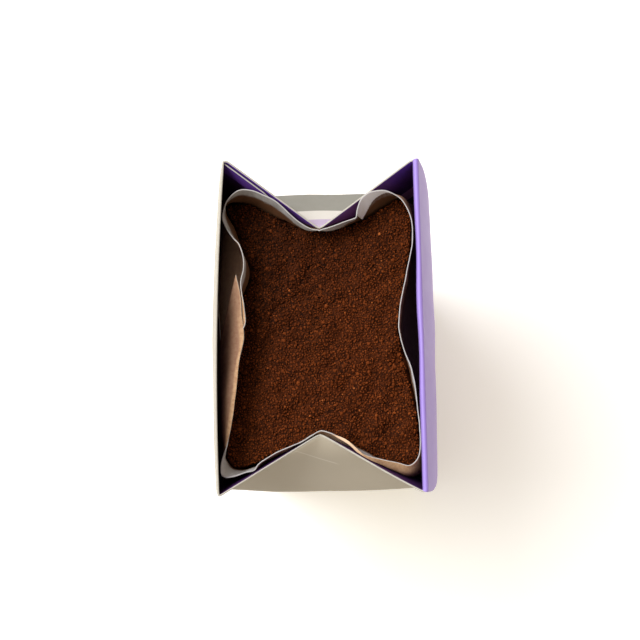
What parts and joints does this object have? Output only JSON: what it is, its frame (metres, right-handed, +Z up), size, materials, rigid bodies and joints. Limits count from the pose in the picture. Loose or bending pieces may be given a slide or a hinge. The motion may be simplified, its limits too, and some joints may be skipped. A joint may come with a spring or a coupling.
{
  "type": "coffee pack",
  "caption": "Opened gusseted carton of ground coffee with a paper inner bag, filled to just below its folded-in rim.",
  "frame": {"origin": "middle of the base, on the surface the pack stands on", "axes": "+Z up, +X towards the lilac wide wall with the hemmed rim, +Y towards the striped gusset"},
  "size_m": [0.0762, 0.1012, 0.1615],
  "materials": {
    "printed_board": "satin",
    "bag_paper": "matte",
    "ground_coffee": "matte"
  },
  "bodies": {
    "root": {"carton": "printed_board", "bag": "bag_paper", "coffee": "ground_coffee"}
  },
  "joints": []
}
